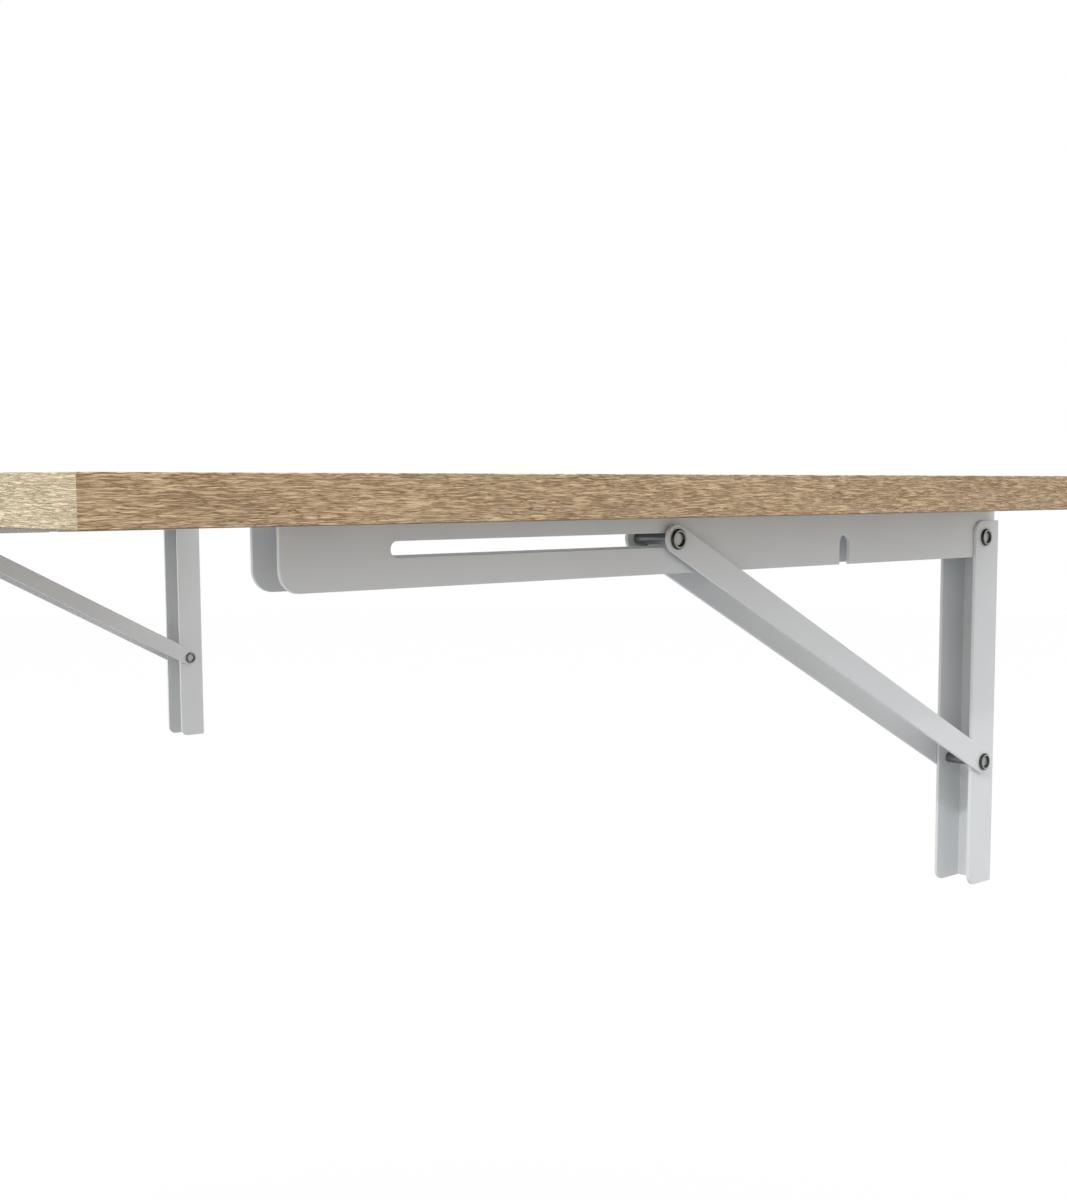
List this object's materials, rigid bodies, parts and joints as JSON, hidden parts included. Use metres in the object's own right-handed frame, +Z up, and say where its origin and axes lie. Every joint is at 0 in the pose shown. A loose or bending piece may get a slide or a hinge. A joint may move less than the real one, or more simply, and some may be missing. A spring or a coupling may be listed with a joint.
{
  "type": "fold-down wall table",
  "caption": "Rectangular wood-look tabletop on folding steel wall brackets, whose sliding struts hold it level and let it hang flat against the wall.",
  "frame": {"origin": "middle of the four wall holes, on the wall plane (the backs of both wall channels)", "axes": "+X along the wall to the right of someone facing it, +Y into the wall, +Z up; stored with the top open and level"},
  "size_m": [1, 0.615, 0.2368],
  "materials": {
    "oak_laminate": "satin oak-look laminate",
    "oak_edging": "satin oak-look edging",
    "board_core": "raw particle board",
    "powder_coated_steel": "pale grey satin powder coat",
    "dark_steel": "dark plated steel",
    "zinc_screws": "zinc plated"
  },
  "bodies": {
    "wall_frame": {"left_wall_channel": "powder_coated_steel", "left_arm_pivot_rivet": "dark_steel", "left_arm_pivot_sleeve": "dark_steel", "left_strut_pivot_rivet": "dark_steel", "left_strut_pivot_sleeve": "dark_steel", "right_wall_channel": "powder_coated_steel", "right_arm_pivot_rivet": "dark_steel", "right_arm_pivot_sleeve": "dark_steel", "right_strut_pivot_rivet": "dark_steel", "right_strut_pivot_sleeve": "dark_steel"},
    "leaf": {"tabletop_core_board": "board_core", "tabletop_top_laminate": "oak_laminate", "tabletop_bottom_laminate": "oak_laminate", "front_edge_band": "oak_edging", "rear_edge_band": "oak_edging", "left_edge_band": "oak_edging", "right_edge_band": "oak_edging", "left_arm_channel": "powder_coated_steel", "left_arm_screws": "zinc_screws", "right_arm_channel": "powder_coated_steel", "right_arm_screws": "zinc_screws"},
    "left_strut": {"left_strut_bar_left": "powder_coated_steel", "left_strut_bar_right": "powder_coated_steel", "left_slider_pin_left_end": "dark_steel", "left_slider_pin_right_end": "dark_steel"},
    "left_slider": {"left_slider_pin": "dark_steel", "left_slider_sleeve": "dark_steel"},
    "right_strut": {"right_strut_bar_left": "powder_coated_steel", "right_strut_bar_right": "powder_coated_steel", "right_slider_pin_left_end": "dark_steel", "right_slider_pin_right_end": "dark_steel"},
    "right_slider": {"right_slider_pin": "dark_steel", "right_slider_sleeve": "dark_steel"}
  },
  "joints": [
    {"name": "leaf_fold", "type": "hinge", "parent": "wall_frame", "child": "leaf", "pos_m": [0, -0.0147, 0.1078], "axis": [1, 0, 0], "range_deg": [0, 90]},
    {"name": "left_strut_swing", "type": "hinge", "parent": "wall_frame", "child": "left_strut", "pos_m": [-0.4255, -0.0147, -0.022], "axis": [1, 0, 0], "range_deg": [0, 116.14]},
    {"name": "left_slider_travel", "type": "slide", "parent": "leaf", "child": "left_slider", "axis": [0, -1, 0], "range_m": [0, 0.16226]},
    {"name": "right_strut_swing", "type": "hinge", "parent": "wall_frame", "child": "right_strut", "pos_m": [0.4255, -0.0147, -0.022], "axis": [1, 0, 0], "range_deg": [0, 116.14]},
    {"name": "right_slider_travel", "type": "slide", "parent": "leaf", "child": "right_slider", "axis": [0, -1, 0], "range_m": [0, 0.16226]}
  ],
  "couplings": [
    {"joint": "left_strut_swing", "follows": "leaf_fold", "ratio": 1.2904},
    {"joint": "left_slider_travel", "follows": "leaf_fold", "m_per_rad": 0.10329},
    {"joint": "right_strut_swing", "follows": "leaf_fold", "ratio": 1.2904},
    {"joint": "right_slider_travel", "follows": "leaf_fold", "m_per_rad": 0.10329}
  ]
}
